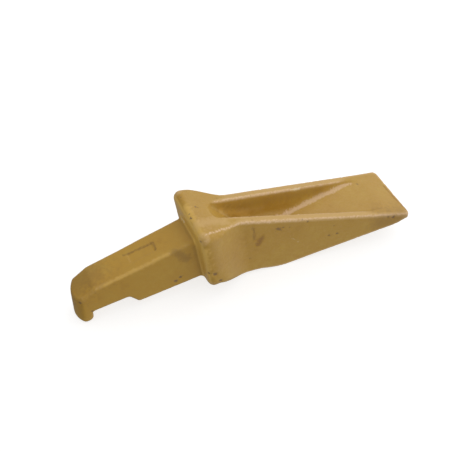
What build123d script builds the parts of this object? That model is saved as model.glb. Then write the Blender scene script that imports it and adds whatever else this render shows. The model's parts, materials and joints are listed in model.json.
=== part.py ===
"""Bucket tooth: one steel casting, with a hooked leg and a scooped chisel blade either side of a shoulder.

Sizes are in millimetres. Shapes are drawn along the leg: u runs from the middle of the shoulder's seat
towards the cutting edge, v runs up from the leg's axis, and y runs across. The tooth lies as it rests,
on the toe of its hook and the round of its belly, with +X towards the cutting edge and +Z up. The origin
is on the floor, under the middle of the tooth's length.
"""

import os
from math import asin, atan, atan2, cos, hypot, radians, sin, sqrt, tan

from build123d import *

# Leg: the part that goes into the socket of the bucket
LEG_LENGTH = 144.4  # from the shoulder's seat to the end, along the leg's axis
LEG_ROOT_HALF_WIDTH = 21.8
LEG_END_HALF_WIDTH = 18.4
LEG_ROOT_TOP = 29.2  # height of the top face over the axis, at the seat
NOSE_LENGTH = 26.1  # of the bevel at the end
NOSE_TOP = 17.9  # height of the top face where the bevel starts
END_TOP = 6.0  # height at which the bevel meets the end
NOSE_RADIUS = 6.0
END_LEAN = 8.5  # degrees from square to the leg: the end stands upright as the tooth lies
END_BOW_RADIUS = 27.0  # the end is bowed, seen from above
END_CORNER_RADIUS = 4.5
LEG_UNDERSIDE = 31.4  # depth of the flat underside
LEG_EDGE_RADIUS = 4.0
LEG_ROOT_FILLET = 5.0
LEG_BURIED = 10.0  # how far the leg runs on inside the shoulder

# Hook under the leg's end: the locking piece goes in the recess between the toe and the heel
TOE_LENGTH = 15.1  # from the leg's end to the toe's front face
RECESS_LENGTH = 42.5  # from the toe's front face to the heel's slope
HEEL_LENGTH = 8.5  # of the slope down to the flat underside
RECESS_UNDERSIDE = 17.8  # depth of the recess's roof
RECESS_FILLET = 5.0
TOE_ROOT_FILLET = 3.0
TOE_DROP = 30.1  # depth of the toe's underside
TOE_FRONT_RADIUS = 6.5

# Shoulder: the rounded flange that seats against the socket
SHOULDER_HALF_WIDTH = 43.8
SHOULDER_TOP = 55.1
SHOULDER_UNDERSIDE = 38.8
SHOULDER_THICKNESS = 12.5
SHOULDER_TOP_RADIUS = 9.5
SHOULDER_BOTTOM_RADIUS = 17.0
SEAT_EDGE_RADIUS = 8.0

# Blade: a wedge whose flat underside runs along the leg, and whose rim slopes down to the edge
NECK_STATION = 54.2  # the narrowest place, in front of the shoulder's flare
NECK_HALF_WIDTH = 25.3
NECK_UNDERSIDE = 56.2
BELLY_STATION = 98.0  # where the belly has run down to the blade's underside
BLADE_UNDERSIDE = 66.0
BLADE_LENGTH = 258.6  # from the seat to the cutting edge
EDGE_HALF_WIDTH = 42.0
EDGE_DROP = 55.0  # depth of the cutting edge's upper line
EDGE_THICKNESS = 5.4
SHARPENED_LENGTH = 20.0  # the short bevel under the cutting edge
BLADE_CORNER_RADIUS = 3.0
EDGE_CORNER_RADIUS = 1.6
CUTTING_EDGE_RADIUS = 1.4
TIP_CORNER_RADIUS = 7.0  # of the cutting edge, seen from above
BODY_STEP = 7.5  # distance between the sections of the flare and the belly, or a little less

# Scoop: the round-ended channel in the blade's top
SCOOP_BOWL_STATION = 39.2  # centre of the round end, along the leg
SCOOP_RUN_OUT = 230.2  # where the floor meets the rim
SCOOP_OVERRUN = 25.0  # how far the cutting shape goes on over the rim
SCOOP_BOWL_HALF_WIDTH = 13.0
SCOOP_MOUTH_HALF_WIDTH = 30.5  # at the run-out
SCOOP_BOWL_DEPTH = 25.0
SCOOP_FULL_DEPTH = 33.0  # the channel's depth under the run-out, where the floor has cut it short
SCOOP_WALL_DRAFT = 18.0  # degrees from square to the rim
SCOOP_FLOOR_ANGLE = 14.4  # degrees between the floor and the rim
SCOOP_RAMP_ANGLE = 32.0  # degrees between the rim and the ramp down from the round end
SCOOP_BOWL_RADIUS = 5.0
SCOOP_CHANNEL_RADIUS = 22.0
SCOOP_FLOOR_FILLET = 8.0
SCOOP_RAMP_FILLET = 5.0
SCOOP_LIP_RADIUS = 2.5
SCOOP_CLEAR = 15.0  # how far the cutting shape stands out of the metal

SAME = 0.01  # two heights or stations closer than this are the same


def part_way(u, start, end):
    """How far station u lies on the way from start to end, held between 0 and 1."""
    return min(1, max(0, (u - start) / (end - start)))


def ease(t):
    """Turns an even change from 0 to 1 into one that starts and ends level."""
    return t * t * (3 - 2 * t)


def body_underside(u):
    """Depth of the underside: it leaves the shoulder steeply, runs level, then swells into the belly."""
    flare = part_way(u, SHOULDER_THICKNESS, NECK_STATION)
    belly = part_way(u, NECK_STATION, BELLY_STATION)
    at_flare = SHOULDER_UNDERSIDE + (NECK_UNDERSIDE - SHOULDER_UNDERSIDE) * flare * (5 - flare) / 4
    return at_flare + (BLADE_UNDERSIDE - NECK_UNDERSIDE) * ease(belly)


def body_half_width(u):
    """Half-width: it draws in from the shoulder to the neck, then widens evenly to the cutting edge."""
    flare = part_way(u, SHOULDER_THICKNESS, NECK_STATION)
    blade = part_way(u, NECK_STATION, BLADE_LENGTH)
    at_flare = SHOULDER_HALF_WIDTH + (NECK_HALF_WIDTH - SHOULDER_HALF_WIDTH) * ease(flare)
    return at_flare + (EDGE_HALF_WIDTH - NECK_HALF_WIDTH) * blade


# The tooth lies on the round of the toe and on the belly. The floor's slope against the leg is the
# steepest line from the toe's round to any place on the belly
toe_v = LEG_EDGE_RADIUS - TOE_DROP
toe_u = (LEG_EDGE_RADIUS + toe_v * sin(radians(END_LEAN))) / cos(radians(END_LEAN)) - LEG_LENGTH


def floor_slope(u):
    """Slope of a line under the toe's round and through the underside at station u."""
    rise = body_underside(u) + toe_v
    run = u - toe_u
    return atan2(rise, run) - asin(LEG_EDGE_RADIUS / hypot(rise, run))


belly_stations = range(int(NECK_STATION), int(BLADE_LENGTH - SHARPENED_LENGTH))
rest_tilt, lowest_station = max((floor_slope(u), u) for u in belly_stations)

# Where the middle of the seat lies, with the tooth on the floor and its length centred
seat_z = body_underside(lowest_station) * cos(rest_tilt) - lowest_station * sin(rest_tilt)
cutting_edge_x = BLADE_LENGTH * cos(rest_tilt) + (EDGE_DROP + EDGE_THICKNESS) * sin(rest_tilt)
leg_end_x = -LEG_LENGTH * cos(rest_tilt)
seat_centre = Vector(-(cutting_edge_x + leg_end_x) / 2, 0, seat_z)
along = Vector(cos(rest_tilt), 0, sin(rest_tilt))
upward = Vector(-sin(rest_tilt), 0, cos(rest_tilt))
across = Vector(0, 1, 0)
seat_plane = Plane(origin=seat_centre, x_dir=across, z_dir=along)
side_plane = Plane(origin=seat_centre, x_dir=along, z_dir=-across)

# The leg's plan is drawn square to its leaning end
end_rise = along * sin(radians(END_LEAN)) + upward * cos(radians(END_LEAN))
plan_plane = Plane(origin=seat_centre, x_dir=across.cross(end_rise), z_dir=end_rise)
plan_length = LEG_LENGTH * cos(radians(END_LEAN))

# The rim plane runs from the shoulder's top to the cutting edge
rim_angle = atan((SHOULDER_TOP + EDGE_DROP) / BLADE_LENGTH)
rim_along = along * cos(rim_angle) - upward * sin(rim_angle)
rim_normal = along * sin(rim_angle) + upward * cos(rim_angle)


def rim_height(u):
    """Height of the rim plane over the leg's axis at station u."""
    return SHOULDER_TOP - tan(rim_angle) * u


def rim_point(u):
    """The middle of the rim plane at station u, in the tooth's frame."""
    return seat_centre + along * u + upward * rim_height(u)


def station(shape):
    """Station of the middle of an edge or a face."""
    return (shape.center() - seat_centre).dot(along)


def rim_gap(edge):
    """How far the middle of an edge is from the rim plane."""
    return abs((edge.position_at(0.5) - rim_point(0)).dot(rim_normal))


def scoop_gap(edge):
    """How far the middle of an edge is from the scoop."""
    return Vertex(edge.position_at(0.5)).distance_to(scoop.part)


def ring(u, half_width, underside, top_radius, bottom_radius):
    """Section square to the leg at station u: a rectangle up to the rim, with rounded corners."""
    top = rim_height(u)
    with BuildSketch(seat_plane.offset(u)) as section:
        with BuildLine():
            FilletPolyline(
                (-half_width, -underside),
                (half_width, -underside),
                (half_width, top),
                (-half_width, top),
                radius=[bottom_radius, bottom_radius, top_radius, top_radius],
                close=True,
            )
        make_face()
    return section.sketch


def body_ring(u):
    """Section of the flare, the belly or the blade at station u."""
    flare = part_way(u, SHOULDER_THICKNESS, NECK_STATION)
    return ring(
        u,
        body_half_width(u),
        body_underside(u),
        SHOULDER_TOP_RADIUS + (BLADE_CORNER_RADIUS - SHOULDER_TOP_RADIUS) * flare * (2 - flare),
        SHOULDER_BOTTOM_RADIUS + (BLADE_CORNER_RADIUS - SHOULDER_BOTTOM_RADIUS) * ease(flare),
    )


def scoop_reach(half_width, height):
    """How far the scoop's wall stands from its middle, at a height over the rim plane."""
    return half_width + height * tan(radians(SCOOP_WALL_DRAFT))


def floor_radius(half_width, radius):
    """The rounding at the foot of the scoop's walls, or nine tenths of what a narrow bottom has room for."""
    return min(radius, 0.9 * half_width / tan(radians(90 - SCOOP_WALL_DRAFT) / 2))


# Leg, with the hook and its recess in the side view, and the taper and the bowed end seen from above
nose_station = LEG_LENGTH - NOSE_LENGTH
toe_station = LEG_LENGTH - TOE_LENGTH
recess_station = toe_station - RECESS_LENGTH
heel_station = recess_station - HEEL_LENGTH
top_slope = (LEG_ROOT_TOP - NOSE_TOP) / nose_station
bevel_slope = (NOSE_TOP - END_TOP) / NOSE_LENGTH
with BuildPart() as leg:
    with BuildSketch(side_plane):
        with BuildLine():
            FilletPolyline(
                (LEG_BURIED, LEG_ROOT_TOP + LEG_BURIED * top_slope),
                (-nose_station, NOSE_TOP),
                (-LEG_LENGTH - LEG_BURIED, END_TOP - LEG_BURIED * bevel_slope),
                (-LEG_LENGTH - LEG_BURIED, -TOE_DROP),
                (-toe_station, -TOE_DROP),
                (-toe_station, -RECESS_UNDERSIDE),
                (-recess_station, -RECESS_UNDERSIDE),
                (-heel_station, -LEG_UNDERSIDE),
                (LEG_BURIED, -LEG_UNDERSIDE),
                radius=[
                    0,
                    NOSE_RADIUS,
                    0,
                    0,
                    TOE_FRONT_RADIUS,
                    TOE_ROOT_FILLET,
                    RECESS_FILLET,
                    RECESS_FILLET,
                    0,
                ],
                close=True,
            )
        make_face()
    extrude(amount=LEG_ROOT_HALF_WIDTH + LEG_BURIED, both=True)
    side_slope = (LEG_ROOT_HALF_WIDTH - LEG_END_HALF_WIDTH) / plan_length
    bow = END_BOW_RADIUS - sqrt(END_BOW_RADIUS**2 - LEG_END_HALF_WIDTH**2)
    buried_reach = LEG_BURIED + TOE_DROP
    buried_half_width = LEG_ROOT_HALF_WIDTH + side_slope * buried_reach
    with BuildSketch(plan_plane) as plan:
        with BuildLine():
            ThreePointArc(
                (bow - plan_length, -LEG_END_HALF_WIDTH),
                (-plan_length, 0),
                (bow - plan_length, LEG_END_HALF_WIDTH),
            )
            Polyline(
                (bow - plan_length, LEG_END_HALF_WIDTH),
                (buried_reach, buried_half_width),
                (buried_reach, -buried_half_width),
                (bow - plan_length, -LEG_END_HALF_WIDTH),
            )
        make_face()
        fillet(plan.vertices().sort_by(Axis(seat_centre, along))[:2], radius=END_CORNER_RADIUS)
    extrude(amount=2 * LEG_ROOT_TOP + TOE_DROP, both=True, mode=Mode.INTERSECT)
    outline = leg.edges().filter_by(Axis.Y, reverse=True).filter_by(Axis(seat_centre, end_rise), reverse=True)
    fillet(outline.filter_by(lambda edge: station(edge) < LEG_BURIED - SAME), radius=LEG_EDGE_RADIUS)

# Scoop: the shape that the channel takes out of the blade. It widens from its round end, where a ramp
# leads down into it, and its floor is a plane that rises to the rim
bowl_plane = Plane(origin=rim_point(SCOOP_BOWL_STATION), x_dir=across, z_dir=rim_along)
scoop_length = (SCOOP_RUN_OUT - SCOOP_BOWL_STATION) / cos(rim_angle)
floor_tilt = rim_angle - radians(SCOOP_FLOOR_ANGLE)
floor_normal = along * sin(floor_tilt) + upward * cos(floor_tilt)
floor_plane = Plane(origin=rim_point(SCOOP_RUN_OUT), x_dir=across, z_dir=floor_normal)
ramp_tilt = rim_angle + radians(SCOOP_RAMP_ANGLE)
ramp_normal = along * sin(ramp_tilt) + upward * cos(ramp_tilt)
ramp_start = rim_point(SCOOP_BOWL_STATION) - rim_along * SCOOP_BOWL_HALF_WIDTH
ramp_plane = Plane(origin=ramp_start, x_dir=across, z_dir=ramp_normal)
overrun = 1 + SCOOP_OVERRUN / scoop_length
end_half_width = SCOOP_BOWL_HALF_WIDTH + (SCOOP_MOUTH_HALF_WIDTH - SCOOP_BOWL_HALF_WIDTH) * overrun
with BuildPart() as scoop:
    for distance, half_width, depth, radius in (
        (0, SCOOP_BOWL_HALF_WIDTH, SCOOP_BOWL_DEPTH, SCOOP_BOWL_RADIUS),
        (scoop_length + SCOOP_OVERRUN, end_half_width, SCOOP_FULL_DEPTH, SCOOP_CHANNEL_RADIUS),
    ):
        top = scoop_reach(half_width, SCOOP_CLEAR)
        bottom = scoop_reach(half_width, -depth)
        with BuildSketch(bowl_plane.offset(distance)):
            with BuildLine():
                FilletPolyline(
                    (-top, SCOOP_CLEAR),
                    (-bottom, -depth),
                    (bottom, -depth),
                    (top, SCOOP_CLEAR),
                    radius=[0, floor_radius(bottom, radius), floor_radius(bottom, radius), 0],
                    close=True,
                )
            make_face()
    loft(ruled=True)
    bowl_bottom = scoop_reach(SCOOP_BOWL_HALF_WIDTH, -SCOOP_BOWL_DEPTH)
    with BuildSketch(bowl_plane):
        with BuildLine():
            FilletPolyline(
                (0, SCOOP_CLEAR),
                (0, -SCOOP_BOWL_DEPTH),
                (bowl_bottom, -SCOOP_BOWL_DEPTH),
                (scoop_reach(SCOOP_BOWL_HALF_WIDTH, SCOOP_CLEAR), SCOOP_CLEAR),
                radius=[0, 0, floor_radius(bowl_bottom, SCOOP_BOWL_RADIUS), 0],
                close=True,
            )
        make_face()
    revolve(axis=Axis(rim_point(SCOOP_BOWL_STATION), rim_normal))
    split(bisect_by=floor_plane, keep=Keep.TOP)
    split(bisect_by=ramp_plane, keep=Keep.TOP)
    floor = scoop.faces().filter_by(lambda face: face.normal_at().dot(floor_normal) < SAME - 1)
    fillet(floor.edges().filter_by(Axis.Y, reverse=True), radius=SCOOP_FLOOR_FILLET)
    ramp = scoop.faces().filter_by(lambda face: face.normal_at().dot(ramp_normal) < SAME - 1)
    fillet(ramp.edges(), radius=SCOOP_RAMP_FILLET)

# Tooth: shoulder, flare and blade, less the scoop, with the leg
with BuildPart() as tooth:
    shoulder_sizes = (SHOULDER_HALF_WIDTH, SHOULDER_UNDERSIDE, SHOULDER_TOP_RADIUS, SHOULDER_BOTTOM_RADIUS)
    loft(sections=[ring(0, *shoulder_sizes), ring(SHOULDER_THICKNESS, *shoulder_sizes)], ruled=True)
    seat = tooth.faces().sort_by(Axis(seat_centre, along))[0]
    fillet(seat.edges(), radius=SEAT_EDGE_RADIUS)
    sections = int((BELLY_STATION - SHOULDER_THICKNESS) / BODY_STEP) + 1
    section_gap = (BELLY_STATION - SHOULDER_THICKNESS) / sections
    loft(sections=[body_ring(SHOULDER_THICKNESS + section_gap * n) for n in range(sections + 1)])
    cutting_edge = ring(
        BLADE_LENGTH, EDGE_HALF_WIDTH, EDGE_DROP + EDGE_THICKNESS, EDGE_CORNER_RADIUS, EDGE_CORNER_RADIUS
    )
    loft(
        sections=[body_ring(BELLY_STATION), body_ring(BLADE_LENGTH - SHARPENED_LENGTH), cutting_edge],
        ruled=True,
    )
    fillet(tooth.faces().sort_by(Axis(seat_centre, along))[-1].edges(), radius=CUTTING_EDGE_RADIUS)
    with BuildSketch(Plane(origin=seat_centre, x_dir=along, z_dir=upward)):
        for side in (-1, 1):
            with Locations((BLADE_LENGTH, side * EDGE_HALF_WIDTH)):
                Rectangle(2 * TIP_CORNER_RADIUS, 2 * TIP_CORNER_RADIUS)
            with Locations((BLADE_LENGTH - TIP_CORNER_RADIUS, side * (EDGE_HALF_WIDTH - TIP_CORNER_RADIUS))):
                Circle(TIP_CORNER_RADIUS, mode=Mode.SUBTRACT)
    extrude(amount=2 * BLADE_UNDERSIDE, both=True, mode=Mode.SUBTRACT)
    add(scoop.part, mode=Mode.SUBTRACT)
    lip = tooth.edges().filter_by(lambda edge: rim_gap(edge) < SAME)
    fillet(lip.filter_by(lambda edge: scoop_gap(edge) < SAME), radius=SCOOP_LIP_RADIUS)
    blade = tooth.part
    add(leg.part)
    fillet(new_edges(blade, leg.part, combined=tooth.part), radius=LEG_ROOT_FILLET)

tooth.part.label = "bucket_tooth"
os.makedirs("parts", exist_ok=True)
export_step(tooth.part, "parts/bucket_tooth.step")
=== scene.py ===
# %% [markdown]
# A worn bucket tooth.
# The real object is one steel casting: a hooked leg that plugs into a socket, a rounded shoulder, and a
# broad wedge with a scoop in its top. It came out of a sand mould, was sprayed ochre, and has been knocked
# about since. The CAD model gives the exact form. It could simply be painted, but then every face would
# be flawless, and a casting isn't. So this lesson makes a skin from the CAD mesh, works the unevenness,
# the pits and the wear into it, and then paints it with nodes.

# %% Load the frame
import json
from math import cos, radians, sin

import bmesh
import bpy
import numpy as np
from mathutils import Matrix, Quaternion, Vector, noise
from mathutils.bvhtree import BVHTree


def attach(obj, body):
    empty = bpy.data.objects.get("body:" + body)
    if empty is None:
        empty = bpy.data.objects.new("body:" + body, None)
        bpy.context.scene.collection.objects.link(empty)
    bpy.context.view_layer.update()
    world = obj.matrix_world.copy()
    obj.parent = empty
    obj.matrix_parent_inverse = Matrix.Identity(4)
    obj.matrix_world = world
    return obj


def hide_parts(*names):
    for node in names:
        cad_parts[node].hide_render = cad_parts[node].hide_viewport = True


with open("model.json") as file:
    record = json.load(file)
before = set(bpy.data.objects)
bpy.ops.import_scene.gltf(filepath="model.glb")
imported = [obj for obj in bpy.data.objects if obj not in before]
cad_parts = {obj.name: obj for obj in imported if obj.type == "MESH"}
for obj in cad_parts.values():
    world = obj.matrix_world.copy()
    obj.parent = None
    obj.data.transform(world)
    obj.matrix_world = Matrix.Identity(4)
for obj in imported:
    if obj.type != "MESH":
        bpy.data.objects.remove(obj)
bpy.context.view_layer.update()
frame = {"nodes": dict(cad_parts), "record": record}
MM = 0.001

# %% [markdown]
# The tooth's own directions.
# It lies tilted on the floor, so places on it are easier to give along its leg: u from the shoulder's
# seat towards the cutting edge, v up from the leg's axis, y across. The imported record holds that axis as
# a mount, so nothing has to be typed in again.

# %% Find the leg's axis
mounts = {mount["name"]: mount for mount in frame["record"]["mounts"]}
seat_centre = Vector(mounts["leg_axis"]["pos_m"])
along = -Vector(mounts["leg_axis"]["axis"])
upward = Vector((-along.z, 0, along.x))
print("the leg's axis rises", round(np.degrees(np.arcsin(along.z)), 2), "degrees")

# %% [markdown]
# The camera.
# The photo looks down on the tooth at 45 degrees, from the side of its leg. The lens is a long one, about
# a metre away, and the tooth sits to the upper left of the line of sight. A long lens at the right
# distance matters more than the exact aim, because it sets how fast the wedge's lines run together.

# %% Set up the camera
IMAGE_SIZE = 452  # pixels, both ways
SENSOR = 36.0
LENS = 68.46
CAMERA_ELEVATION = radians(45.04)
CAMERA_AZIMUTH = radians(-23.98)
CAMERA_ROLL = radians(0.13)
CAMERA_DISTANCE = 1000 * MM
AIM = Vector((-9.69, 21.84, 41.31)) * MM

sight = Vector((
    -sin(CAMERA_AZIMUTH) * cos(CAMERA_ELEVATION),
    cos(CAMERA_AZIMUTH) * cos(CAMERA_ELEVATION),
    -sin(CAMERA_ELEVATION),
))
lens = bpy.data.cameras.new("camera")
lens.sensor_width = SENSOR
lens.lens = LENS
camera = bpy.data.objects.new("camera", lens)
camera.location = AIM - sight * CAMERA_DISTANCE
level = sight.to_track_quat("-Z", "Y")
camera.rotation_euler = (level @ Quaternion((0, 0, 1), CAMERA_ROLL)).to_euler()
bpy.context.scene.collection.objects.link(camera)
bpy.context.scene.camera = camera
bpy.context.view_layer.update()
print("camera at, mm:", [round(value / MM) for value in camera.location])

# %% [markdown]
# Floor and light.
# The photo has a plain white ground and soft light that comes mostly from above and from the blade's end,
# so the faces that look to the leg's end are less than half as bright as the rim. A glow all round, which
# the world gives and which leans to one side, does most of it, and one large softbox does the rest. The
# ground is a lit white table, so the shadow on it stays pale. It would throw so much light up that the
# sides came out as bright as the top, so the casting doesn't see it.

# %% Make the floor
def linear(hex_colour):
    """An sRGB hex colour as linear red, green, blue and alpha."""
    channels = [int(hex_colour[start:start + 2], 16) / 255 for start in (0, 2, 4)]
    return [c / 12.92 if c <= 0.04045 else ((c + 0.055) / 1.055) ** 2.4 for c in channels] + [1.0]


def add_node(tree, kind, inputs=(), **settings):
    """Adds a node with its settings. An input is a value, or another node's socket to link from."""
    node = tree.nodes.new(kind)
    for name, value in settings.items():
        setattr(node, name, value)
    for socket, value in dict(inputs).items():
        if isinstance(value, bpy.types.NodeSocket):
            tree.links.new(value, node.inputs[socket])
        else:
            node.inputs[socket].default_value = value
    return node


FLOOR_WIDTH = 40.0  # metres

bm = bmesh.new()
bmesh.ops.create_grid(bm, x_segments=1, y_segments=1, size=FLOOR_WIDTH / 2)
floor_mesh = bpy.data.meshes.new("floor")
bm.to_mesh(floor_mesh)
bm.free()
floor = bpy.data.objects.new("floor", floor_mesh)
floor.visible_diffuse = False
floor.visible_glossy = False
bpy.context.scene.collection.objects.link(floor)

table = bpy.data.materials.new("lit_white_table")
table.use_nodes = True
table.node_tree.nodes.clear()
table_shader = add_node(table.node_tree, "ShaderNodeBsdfPrincipled", {
    "Base Color": linear("A8A8A8"),
    "Roughness": 0.9,
    "Specular IOR Level": 0.1,
    "Emission Color": linear("FFFFFF"),
    "Emission Strength": 0.74,
})
add_node(table.node_tree, "ShaderNodeOutputMaterial", {"Surface": table_shader.outputs["BSDF"]})
floor.data.materials.append(table)
print("floor", FLOOR_WIDTH, "m wide")

# %% Set up the lights
SKY_STRENGTH = 0.654
SKY_LEAN = (0.285, -0.082, 0.287)  # extra glow towards the blade's end, the far side and the top
SOFTBOX_BEARING = radians(-35)  # from the blade's direction, and positive towards the viewer
SOFTBOX_HEIGHT = radians(55)
SOFTBOX_DISTANCE = 1.5
SOFTBOX_WIDTH = 1.2
SOFTBOX_POWER = 3.36  # watts

world = bpy.data.worlds.new("studio")
world.use_nodes = True
world.node_tree.nodes.clear()
direction = add_node(world.node_tree, "ShaderNodeTexCoord").outputs["Generated"]
lean = add_node(
    world.node_tree, "ShaderNodeVectorMath", {0: direction, 1: SKY_LEAN}, operation="DOT_PRODUCT",
).outputs["Value"]
glow = add_node(world.node_tree, "ShaderNodeMath", {0: lean, 1: SKY_STRENGTH}, operation="ADD").outputs[0]
sky = add_node(world.node_tree, "ShaderNodeBackground", {"Color": linear("FCFCFC"), "Strength": glow})
add_node(world.node_tree, "ShaderNodeOutputWorld", {"Surface": sky.outputs["Background"]})
bpy.context.scene.world = world
bpy.context.scene.view_settings.view_transform = "Standard"

towards = Vector((
    cos(SOFTBOX_HEIGHT) * cos(SOFTBOX_BEARING),
    -cos(SOFTBOX_HEIGHT) * sin(SOFTBOX_BEARING),
    sin(SOFTBOX_HEIGHT),
))
softbox = bpy.data.lights.new("key_softbox", "AREA")
softbox.shape = "SQUARE"
softbox.size = SOFTBOX_WIDTH
softbox.energy = SOFTBOX_POWER
light = bpy.data.objects.new("key_softbox", softbox)
light.location = towards * SOFTBOX_DISTANCE
light.rotation_euler = (-towards).to_track_quat("-Z", "Y").to_euler()
light.visible_camera = False
bpy.context.scene.collection.objects.link(light)
print("softbox at, mm:", [round(value / MM) for value in light.location])

# %% [markdown]
# The skin.
# A sand casting has no knife-sharp line anywhere: the sand, the fettling wheel and the paint round
# every edge a little. The CAD mesh is loose triangles of very uneven size, which can't carry
# small dents. A voxel remesh rebuilds it as an even net of quads about a millimetre wide, and a few passes
# of smoothing take away the steps that the voxels leave on sloping faces. A subdivision surface on the
# CAD mesh was the other way, but it would round the long faces as much as the edges.

# %% Make an even net over the casting
NET = 1.15 * MM
MERGE_DISTANCE = 0.002 * MM
SMOOTHING_PASSES = 3
SMOOTHING = 0.5  # how far a pass moves a vertex to the middle of its neighbours

merged = frame["nodes"]["bucket_tooth"].data.copy()
bm = bmesh.new()
bm.from_mesh(merged)
bmesh.ops.remove_doubles(bm, verts=bm.verts, dist=MERGE_DISTANCE)
bmesh.ops.recalc_face_normals(bm, faces=bm.faces)
bm.to_mesh(merged)
bm.free()

mould = bpy.data.objects.new("mould", merged)
bpy.context.scene.collection.objects.link(mould)
remesh = mould.modifiers.new("net", "REMESH")
remesh.mode = "VOXEL"
remesh.voxel_size = NET
remesh.use_smooth_shade = True
net = bpy.data.meshes.new_from_object(mould.evaluated_get(bpy.context.evaluated_depsgraph_get()))
bpy.data.objects.remove(mould)

bm = bmesh.new()
bm.from_mesh(net)
for _ in range(SMOOTHING_PASSES):
    bmesh.ops.smooth_vert(
        bm, verts=bm.verts, factor=SMOOTHING, use_axis_x=True, use_axis_y=True, use_axis_z=True,
    )
bm.to_mesh(net)
bm.free()
net.materials.clear()
casting = bpy.data.objects.new("painted_casting", net)
bpy.context.scene.collection.objects.link(casting)
print("net:", len(net.vertices), "vertices,", len(net.polygons), "faces")

# %% [markdown]
# Places and directions of the net.
# The next steps push vertices along their normals and mark them, so the net is read once into arrays.
# Working on arrays keeps each step to one line of arithmetic over all vertices.

# %% Read the net
def read(collection, name, width=3):
    """One property of all vertices or edges, as an array with a row for each."""
    kind = np.int32 if name == "vertices" else np.float32
    values = np.empty(len(collection) * width, kind)
    collection.foreach_get(name, values)
    return values.reshape(-1, width) if width > 1 else values


places = read(net.vertices, "co")
normals = read(net.vertices, "normal")
first, second = read(net.edges, "vertices", 2).T
neighbours = np.bincount(first, minlength=len(places)) + np.bincount(second, minlength=len(places))
from_seat = places - np.array(seat_centre)
station = from_seat @ np.array(along) / MM
height_over_axis = from_seat @ np.array(upward) / MM
side = places[:, 1] / MM
print("stations from", round(float(station.min()), 1), "to", round(float(station.max()), 1), "mm")


def soften(values, passes):
    """Averages a value over neighbouring vertices."""
    for _ in range(passes):
        total = np.bincount(first, values[second], len(values))
        total += np.bincount(second, values[first], len(values))
        values = 0.5 * values + 0.5 * total / neighbours
    return values


def ramp(values, low, high):
    """0 below low, 1 above high, and a smooth change between."""
    t = np.clip((values - low) / (high - low), 0, 1)
    return t * t * (3 - 2 * t)


def noise_at(width):
    """Smooth noise at each vertex, between about -1 and 1, with bumps of a given width."""
    return np.array([noise.noise(Vector(place) / width) for place in places])


# %% [markdown]
# Where the edges are.
# Paint goes first on the edges, and the corners are painted darker. How far a vertex stands out of its
# neighbours, along its normal, tells the two apart: divided by the square of the distance it is the
# surface's curvature. Cycles has a pointiness value for this, but a stored one also reaches the exported
# model, and it can be softened.

# %% Measure the curvature
CURVATURE_PASSES = 7
EDGE_CURVATURE = (18, 80)
CORNER_CURVATURE = (10, 48)
TINY = 1e-12  # keeps a division by nothing from failing

step = places[first] - places[second]
square = np.maximum((step ** 2).sum(1), TINY)
stand_out = np.bincount(first, (normals[first] * step).sum(1) / square, len(places))
stand_out -= np.bincount(second, (normals[second] * step).sum(1) / square, len(places))
curvature = soften(stand_out / neighbours, CURVATURE_PASSES)  # per metre, positive on an edge
edge = ramp(curvature, *EDGE_CURVATURE)
corner = ramp(-curvature, *CORNER_CURVATURE)
print("curvature at the sharpest edge", round(float(curvature.max())), "per metre")

# %% [markdown]
# Wear, dust and painted light.
# The blade works in the ground and the leg sits in its socket, so the blade's edges are rubbed far more
# than the leg's. A film of soil dust lies on all that stood out of the socket, and it is thicker beside
# the rubbed edges and on the top before the cutting edge. Softening the edges' mask over many passes
# spreads it by some millimetres, and the narrow rim, with an edge on both sides, collects most of it.
# The shoulder's seat lies in shade, and its paint is painted paler there: painted light.

# %% Spread the wear from the edges
# A pair of numbers is where a mask starts and where it is full. Places along the leg are in millimetres.
SPREADING_PASSES = 30
SPREAD_WEAR = (0.06, 0.42)
SOCKET_MOUTH = (-8, 14)
SHELTERED_WEAR = 0.35
DUSTY_STATIONS = (150, 255)
DUST_AT_THE_TIP = 0.42
DUST_FILM = 0.33
FACING_UP = (0.3, 0.8)
FACING_THE_SOCKET = (0.4, 0.9)
OFF_THE_SEAT = (5, 11)
SEAT_PAINTED_LIGHT = 0.9

exposure = SHELTERED_WEAR + (1 - SHELTERED_WEAR) * ramp(station, *SOCKET_MOUTH)
worn_and_highlighted = exposure * edge
dust_and_painted_light = exposure * ramp(soften(edge, SPREADING_PASSES), *SPREAD_WEAR)
facing_up = ramp(normals[:, 2], *FACING_UP)
dust_and_painted_light = np.maximum(dust_and_painted_light, DUST_AT_THE_TIP * ramp(station, *DUSTY_STATIONS) * facing_up)
dust_and_painted_light = np.maximum(dust_and_painted_light, DUST_FILM * ramp(station, *SOCKET_MOUTH))
# The corners on the leg are painted darker
darkened_corner = corner * (1 - ramp(station, *SOCKET_MOUTH))
# The seat's face, in shade, is painted paler: painted light
painted_light = SEAT_PAINTED_LIGHT * ramp(-normals @ np.array(along), *FACING_THE_SOCKET)
painted_light = painted_light * (1 - ramp(np.abs(station), *OFF_THE_SEAT))
print("rubbed:", round(float(worn_and_highlighted.mean()), 3), "dusted:", round(float(dust_and_painted_light.mean()), 3))

# %% [markdown]
# The casting's unevenness.
# Sand gives way under the steel, so the broad faces swell and sink by a few tenths of a millimetre over
# some centimetres, and the surface has a coarser orange-peel of a few millimetres. Stones have nicked the
# blade's edges. Noise at three sizes gives these. All of it sinks into the metal, so the skin stays
# inside the CAD model's box.

# %% Work the unevenness in
SWELL_WIDTH = 34 * MM
SWELL_DEPTH = 0.45
PEEL_WIDTH = 5 * MM
PEEL_DEPTH = 0.14
SMALLEST_SINK = 0.05
RAGGED_WIDTH = 3.2 * MM
NICK_DEPTH = 0.35
NICKED = (0.1, 0.55)  # the noise between which a rubbed edge is nicked

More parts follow.
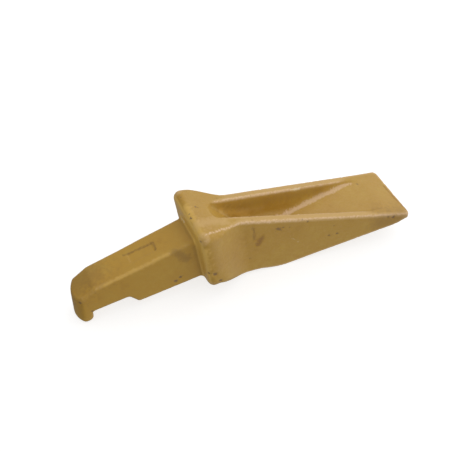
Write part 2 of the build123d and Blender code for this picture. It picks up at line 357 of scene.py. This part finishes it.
sink = SMALLEST_SINK + SWELL_DEPTH * (0.5 + 0.5 * noise_at(SWELL_WIDTH))
sink = sink + PEEL_DEPTH * (0.5 + 0.5 * noise_at(PEEL_WIDTH))
ragged = noise_at(RAGGED_WIDTH)
sink = sink + NICK_DEPTH * worn_and_highlighted * ramp(ragged, *NICKED)
print("sunk by", round(float(sink.min()), 2), "to", round(float(sink.max()), 2), "mm")

# %% [markdown]
# Knocks and marks.
# The photo shows a few marks that are this tooth's own: small pits where sand broke away, a chip on the
# rim, a run down the blade's side, a rusty patch. Each is given by the pixel where the photo shows it. A
# ray from the camera through that pixel finds the place on the skin, so the mark sits on the
# metal from every side. Depths and widths are real sizes.
# Some of the darker patches are no marks but painted shade, where shade falls on the casting.

# %% Find places by their pixels
surface = BVHTree.FromObject(casting, bpy.context.evaluated_depsgraph_get())
pixels_per_slope = LENS / SENSOR * IMAGE_SIZE
OUTLINE_TRIES = 12


def seen_at(pixel):
    """The place on the casting that the camera sees at a pixel, or the nearest on its outline."""
    half = IMAGE_SIZE / 2
    across_view = (pixel[0] - half) / pixels_per_slope
    down_view = (pixel[1] - half) / pixels_per_slope
    ray = camera.matrix_world.to_quaternion() @ Vector((across_view, -down_view, -1)).normalized()
    hit = surface.ray_cast(camera.location, ray)[0]
    reach = CAMERA_DISTANCE
    for _ in range(OUTLINE_TRIES if hit is None else 0):
        beside = surface.find_nearest(camera.location + ray * reach)[0]
        reach = (beside - camera.location).dot(ray)
    return np.array(beside if hit is None else hit)


RAGGEDNESS = 0.65  # how much the noise shifts a mark's outline


def nearness(pixels, half_width):
    """1 on the line through the pixels' places, and fading out over its half-width, in millimetres."""
    corners = [seen_at(pixel) for pixel in pixels]
    nearest = np.full(len(places), np.inf)
    for start, end in zip(corners, corners[1:] or corners):
        run = end - start
        share = np.clip((places - start) @ run / max(run @ run, TINY), 0, 1)
        distance = np.linalg.norm(places - start - share[:, None] * run, axis=1) / MM
        nearest = np.minimum(nearest, distance)
    return np.exp(-(nearest * (1 + RAGGEDNESS * ragged) / half_width) ** 2)


print("a pixel covers about", round(CAMERA_DISTANCE / MM / pixels_per_slope, 2), "mm")

# %% Press the marks into the casting
# Each mark is the pixels along it, its half-width and depth in millimetres, and how plain it is
# Pits on the shoulder, the leg and the blade
PITS = (
    (((181, 197),), 1.8, 0.2, 0.6),
    (((189.5, 214),), 2.2, 0.3, 0.7),
    (((191, 218),), 2.4, 0.4, 0.8),
    (((196, 207),), 2.2, 0.3, 0.8),
    (((217, 198),), 1.8, 0.2, 0.7),
    (((201, 242),), 2.2, 0.4, 0.8),
    (((202, 254),), 1.9, 0.3, 0.6),
    (((208, 273.5),), 3.0, 0.7, 1.0),
    (((216, 274.5),), 3.2, 0.8, 1.0),
    (((221, 281),), 3.4, 0.6, 1.0),
    (((80, 303.5),), 2.4, 0.7, 1.0),
    (((92.5, 311.5),), 2.0, 0.5, 1.0),
    (((180.5, 277.5),), 2.5, 0.6, 1.0),
    (((176.5, 281),), 2.8, 0.6, 1.0),
    (((249.5, 259),), 2.0, 0.5, 0.8),
    (((277, 229), (280, 230)), 3.4, 0.5, 0.9),
    (((283, 228),), 1.9, 0.4, 0.9),
    (((289.5, 228),), 2.1, 0.4, 0.8),
    (((302, 219.5),), 1.9, 0.2, 0.6),
    (((308, 222),), 2.1, 0.6, 0.9),
    (((329, 236),), 2.1, 0.5, 0.9),
    (((334, 226),), 1.9, 0.4, 0.8),
    (((337, 234),), 2.3, 0.6, 1.0),
    (((357, 183.5),), 2.4, 0.2, 0.7),
    (((388, 217.5),), 2.2, 0.8, 1.0),
    (((393.5, 217.5),), 2.6, 0.9, 1.0),
)
# The chip on the far rim, a painted highlight along the shoulder's back edge and a scratch on the blade's
# side
CHIPS_AND_PAINTED_HIGHLIGHT = (
    (((292, 189.5), (299, 188.5)), 1.8, 0.7, 1.0),
    # a pale line painted as a highlight along the shoulder's back edge
    (((175.5, 207), (184, 222)), 2.0, 0.1, 0.8),
    (((291, 237), (299, 243)), 1.2, 0.2, 0.6),
)
# The run down the blade's side, and a painted shadow along the recess's wall
RUNS_AND_PAINTED_SHADOW = (
    (((252.5, 220), (252, 230)), 2.1, 0.5, 0.7),
    (((254, 229), (254, 240)), 2.5, 0.4, 0.7),
    # a painted shadow along the recess's far and end walls
    (((123, 255.5), (153, 242), (155.5, 249)), 1.9, 0.35, 0.85),
)
# Painted shade: beside the leg's root, where the shoulder's shadow falls, on the leg's nose, below the
# cutting edge and on the scoop's far wall
PAINTED_SHADE_PATCHES = (
    (((176, 252), (187, 259)), 6.0, 0.0, 1.0),
    (((70, 284), (90, 274)), 24.0, 0.0, 0.9),
    (((382, 222), (400, 217)), 18.0, 0.0, 0.85),
    (((225, 208), (262, 201), (320, 190)), 8.0, 0.0, 0.65),
)
# The patch on the blade's side, and the cutting edge
RUST_PATCHES = (
    (((258, 245), (262, 238)), 4.4, 0.15, 1.0),
    (((384, 186), (396, 199), (406, 209)), 2.2, 0.0, 0.8),
)

MARKS = {"pitted": PITS, "chipped_and_highlighted": CHIPS_AND_PAINTED_HIGHLIGHT, "streaked_and_shaded": RUNS_AND_PAINTED_SHADOW, "painted_shade": PAINTED_SHADE_PATCHES, "rusted": RUST_PATCHES}

marked = {}
for name, marks in MARKS.items():
    marked[name] = np.zeros(len(places))
    for pixels, half_width, depth, plainness in marks:
        mark = plainness * nearness(pixels, half_width)
        sink = sink + depth * mark
        marked[name] = np.maximum(marked[name], mark)
print("marks pressed in, deepest", round(float(sink.max()), 2), "mm")

# %% [markdown]
# The recess, the rubbed lines and the painted light.
# The leg's top has a shallow rectangular recess, cast in. It is square to the leg, so two opposite corners
# and the leg's own directions give it. The paint is rubbed to a pale line along the rim's inner and outer
# edges, and a painted highlight lies on the same lines. Along the crease where the scoop's floor turns down
# into its channel, the pale line is a painted highlight. A line's pixels are only near it: the edge's or
# the corner's own mask pulls the line on to the real one. Painted light, which lifts shaded places and
# draws a highlight along the leg's top edge, is given by pixels too, and so are paler patches of painted
# light that are laid in with the dust.

# %% Sink the recess and rub the lines
RECESS_CORNERS = ((126, 254.5), (156, 250.5))  # pixels
RECESS_DEPTH = 0.9
RECESS_WALL = 1.2
WORN_AND_HIGHLIGHT_LINES = (
    ((237, 225), (262, 222), (300, 221)),
    ((225, 199), (252, 195), (280, 191), (300, 188)),
)
# Each stroke is the pixels along it, its half-width in millimetres and how strong it is: on the flare's edge
# it is wear with a painted highlight, where the crease bends round it is a painted highlight
WORN_AND_HIGHLIGHT_STROKES = (
    (((206, 235), (220, 230), (237, 225), (252, 222.5)), 2.3, 1.0),
    (((287, 212.5), (268, 215.5)), 2.3, 1.0),
)
# Painted light: the pixels along each stroke, its half-width in millimetres and how much paler it paints
PAINTED_LIGHT_STROKES = (
    (((204, 251), (206, 264), (208, 276)), 6.0, 0.8),
    (((186, 208), (193, 221), (200, 235)), 7.0, 0.7),
    (((222, 211), (246, 214)), 7.0, 0.6),
    # a painted highlight along the leg's top edge
    (((97, 289), (120, 278), (145, 266), (168, 254)), 3.2, 0.55),
)
CREASE_LINE = ((350, 182), (330, 192), (310, 201), (290, 212), (277, 215), (269, 216))
LINE_REACH = 4.5
CREASE_REACH = 3.4
# Each patch of painted light, laid in with the dust, is the pixels along it, its half-width in millimetres
# and how thick it is
PAINTED_LIGHT_PATCHES = (
    (((198, 224), (212, 221), (224, 221)), 9.0, 0.85),
    (((188, 204), (202, 202)), 10.0, 0.35),
    (((216, 240), (222, 270)), 13.0, 0.5),
    (((238, 210), (262, 209)), 8.0, 0.5),
)
EDGE_ON_A_LINE = (0.06, 0.4)
EDGE_PASSES = 2
CREASE_PASSES = 4

recess = ramp(height_over_axis, 0, 1)
recess_ends = np.array([seen_at(pixel) for pixel in RECESS_CORNERS]) - np.array(seat_centre)
for values, ends in ((station, recess_ends @ np.array(along) / MM), (side, recess_ends[:, 1] / MM)):
    recess = recess * ramp(values - min(ends), 0, RECESS_WALL) * ramp(max(ends) - values, 0, RECESS_WALL)
    print("recess from", round(float(min(ends)), 1), "to", round(float(max(ends)), 1), "mm")
sink = sink + RECESS_DEPTH * recess

on_edge = ramp(soften(edge, EDGE_PASSES), *EDGE_ON_A_LINE)
for pixels in WORN_AND_HIGHLIGHT_LINES:
    worn_and_highlighted = np.maximum(worn_and_highlighted, nearness(pixels, LINE_REACH) * on_edge)
for pixels, half_width, strength in WORN_AND_HIGHLIGHT_STROKES:
    worn_and_highlighted = np.maximum(worn_and_highlighted, strength * nearness(pixels, half_width))
in_crease = ramp(soften(corner, CREASE_PASSES), *EDGE_ON_A_LINE)
# A pale line painted along the crease as a highlight
crease_highlight = nearness(CREASE_LINE, CREASE_REACH) * in_crease
for pixels, half_width, strength in PAINTED_LIGHT_STROKES:
    painted_light = np.maximum(painted_light, strength * nearness(pixels, half_width))
# Paler patches painted as light over shaded places, laid in with the dust
for pixels, half_width, thickness in PAINTED_LIGHT_PATCHES:
    dust_and_painted_light = np.maximum(dust_and_painted_light, thickness * nearness(pixels, half_width))

# %% [markdown]
# From arrays to the mesh.
# The vertices move once, at the end, so that every mask was measured on the same net. Each mask becomes a
# named attribute, which the paint's nodes can read, and which stays with the mesh when it is exported.

# %% Move the vertices and store what the paint needs
places = places - normals * sink[:, None] * MM
net.vertices.foreach_set("co", places.astype(np.float32).ravel())
net.update()
MASKS = {
    "painted_light": painted_light,
    "dust_and_painted_light": dust_and_painted_light,
    "worn_and_highlighted": worn_and_highlighted,
    "crease_highlight": crease_highlight,
    "darkened_corner": darkened_corner,
    **marked,
}
for name, values in MASKS.items():
    net.attributes.new(name, "FLOAT", "POINT").data.foreach_set("value", values.astype(np.float32))
for polygon in net.polygons:
    polygon.use_smooth = True
print("stored", ", ".join(MASKS))

# %% [markdown]
# The paint.
# It is an ochre machinery enamel, sprayed thin over bare cast steel. Thin enamel keeps the casting's grain,
# so its sheen is broken up and its colour is never even: it is deeper where it pooled and paler where it
# is dusted over. On edges it is rubbed to a pinkish bloom, and the same pale colour is painted on edges and
# along the scoop's crease as highlights. A paler enamel is painted light, and dark patches are painted
# shade. In the pits the steel shows brown. Layering one mix over another, each with its own mask, follows
# the order in which it happened.

# %% Mix the paint
paint = bpy.data.materials.new("ochre_enamel_on_cast_steel")
paint.use_nodes = True
tree = paint.node_tree
tree.nodes.clear()
position = add_node(tree, "ShaderNodeTexCoord").outputs["Object"]

ENAMEL = linear("B28827")
ENAMEL_POOLED = linear("AB8022")
ENAMEL_DUSTED = linear("B79131")
# A paler enamel for painted light
PAINTED_LIGHT_ENAMEL = linear("DFB65A")
# Dust, and a paler tone for painted light
DUST_AND_PAINTED_LIGHT = linear("CBA76C")
# Pale bloom of worn paint, also used for painted highlights
BLOOM_AND_HIGHLIGHT = linear("DEBC92")
# Dark brown grime, also used for painted shade
GRIME_AND_SHADE = linear("6B4A22")
RUST = linear("7E5230")
BARE_PIT = linear("6E5540")
# Bare, pale chips, also used for a painted highlight
BARE_CHIP_AND_HIGHLIGHT = linear("E4D0A4")

# Clouds of tone, about 45 mm across, mottling of about 7 mm and flecks of about 2.4 mm
CLOUD_WIDTH = 45 * MM
MOTTLE_WIDTH = 7 * MM
FLECK_WIDTH = 2.4 * MM
clouds = add_node(tree, "ShaderNodeTexNoise", {
    "Vector": position, "Scale": 1 / CLOUD_WIDTH, "Detail": 3.0, "Roughness": 0.55,
}).outputs["Fac"]
mottle = add_node(tree, "ShaderNodeTexNoise", {
    "Vector": position, "Scale": 1 / MOTTLE_WIDTH, "Detail": 4.0, "Roughness": 0.6,
}).outputs["Fac"]
flecks = add_node(tree, "ShaderNodeTexNoise", {
    "Vector": position, "Scale": 1 / FLECK_WIDTH, "Detail": 3.0, "Roughness": 0.65,
}).outputs["Fac"]


def smooth_range(value, low, high, to_low=0.0, to_high=1.0):
    """Turns a value between low and high smoothly into one between two others."""
    return add_node(
        tree, "ShaderNodeMapRange", {0: value, 1: low, 2: high, 3: to_low, 4: to_high},
        interpolation_type="SMOOTHSTEP",
    ).outputs["Result"]


def layer(under, over, mask):
    """Lays one colour over another where the mask is 1."""
    return add_node(tree, "ShaderNodeMix", {0: mask, 6: under, 7: over}, data_type="RGBA").outputs[2]


def arithmetic(operation, *values):
    """One sum on one or more values."""
    return add_node(tree, "ShaderNodeMath", dict(enumerate(values)), operation=operation).outputs[0]


stored = {name: add_node(tree, "ShaderNodeAttribute", attribute_name=name).outputs["Fac"] for name in MASKS}


def broken(name, breaker, strength):
    """A stored mask, broken up by the mottling or the flecks."""
    return arithmetic("ADD", stored[name], arithmetic("MULTIPLY_ADD", breaker, strength, -0.5 * strength))


# %% Lay the colours
CLOUDED = (0.3, 0.7)
MOTTLED = (0.35, 0.65)
# Each layer is its mask, its colour, the noise that breaks it up and by how much, where it starts, where it
# is full, and how much it covers there
LAYERS = (
    # paler enamel as painted light
    ("painted_light", PAINTED_LIGHT_ENAMEL, mottle, 0.3, 0.15, 0.95, 0.9),
    # dust, and paler patches of painted light
    ("dust_and_painted_light", DUST_AND_PAINTED_LIGHT, flecks, 0.6, 0.1, 1.1, 0.75),
    # worn edges, partly a painted highlight
    ("worn_and_highlighted", BLOOM_AND_HIGHLIGHT, flecks, 2.0, 0.45, 1.2, 0.85),
    # a painted highlight in the crease
    ("crease_highlight", BLOOM_AND_HIGHLIGHT, flecks, 1.3, 0.3, 0.95, 0.68),
    # corners on the leg painted darker
    ("darkened_corner", GRIME_AND_SHADE, flecks, 0.4, 0.1, 0.9, 0.12),
    # painted shade
    ("painted_shade", GRIME_AND_SHADE, flecks, 0.8, 0.1, 1.1, 0.36),
    # runs, and a painted shadow by the recess
    ("streaked_and_shaded", GRIME_AND_SHADE, flecks, 1.2, 0.3, 1.0, 0.55),
    ("rusted", RUST, flecks, 1.6, 0.3, 1.1, 0.6),
    ("pitted", BARE_PIT, flecks, 1.8, 0.35, 0.95, 0.78),
    # chips, and a painted highlight on the shoulder's edge
    ("chipped_and_highlighted", BARE_CHIP_AND_HIGHLIGHT, flecks, 1.5, 0.35, 0.9, 0.8),
)

colour = layer(ENAMEL_POOLED, ENAMEL_DUSTED, smooth_range(clouds, *CLOUDED))
colour = layer(colour, ENAMEL, smooth_range(mottle, *MOTTLED))
covers = {}
for name, film, breaker, breaking, start, full, cover in LAYERS:
    covers[name] = smooth_range(broken(name, breaker, breaking), start, full, 0.0, cover)
    colour = layer(colour, film, covers[name])
print("layers of colour laid over", len(stored), "masks")

# %% [markdown]
# Sheen and grain.
# Satin enamel has an IOR of about 1.5 and a roughness near 0.45. Dust, rust and bare steel are duller.
# The grain is the mould's sand, about 0.8 mm, drawn at 2 mm because a finer one is smaller than a pixel here.

# %% Give the paint its sheen and grain
GRAIN_WIDTH = 2.0 * MM
GRAIN_DEPTH = 0.12 * MM
RUSTED_DULL = (0.1, 0.6)
SATIN = 0.44
DULL = 0.66

grain = add_node(tree, "ShaderNodeTexNoise", {
    "Vector": position, "Scale": 1 / GRAIN_WIDTH, "Detail": 3.0, "Roughness": 0.6,
}).outputs["Fac"]
bump = add_node(tree, "ShaderNodeBump", {"Strength": 0.6, "Distance": GRAIN_DEPTH, "Height": grain})
dulled = arithmetic("MAXIMUM", covers["dust_and_painted_light"], smooth_range(stored["rusted"], *RUSTED_DULL))
roughness = smooth_range(arithmetic("MAXIMUM", dulled, stored["pitted"]), 0.0, 1.0, SATIN, DULL)
enamel = add_node(tree, "ShaderNodeBsdfPrincipled", {
    "Base Color": colour,
    "Roughness": roughness,
    "IOR": 1.5,
    "Normal": bump.outputs["Normal"],
})
add_node(tree, "ShaderNodeOutputMaterial", {"Surface": enamel.outputs["BSDF"]})
casting.data.materials.append(paint)
print("paint has", len(tree.nodes), "nodes")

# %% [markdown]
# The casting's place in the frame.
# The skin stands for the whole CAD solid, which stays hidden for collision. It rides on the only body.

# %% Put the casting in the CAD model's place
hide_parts("bucket_tooth")
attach(casting, "root")
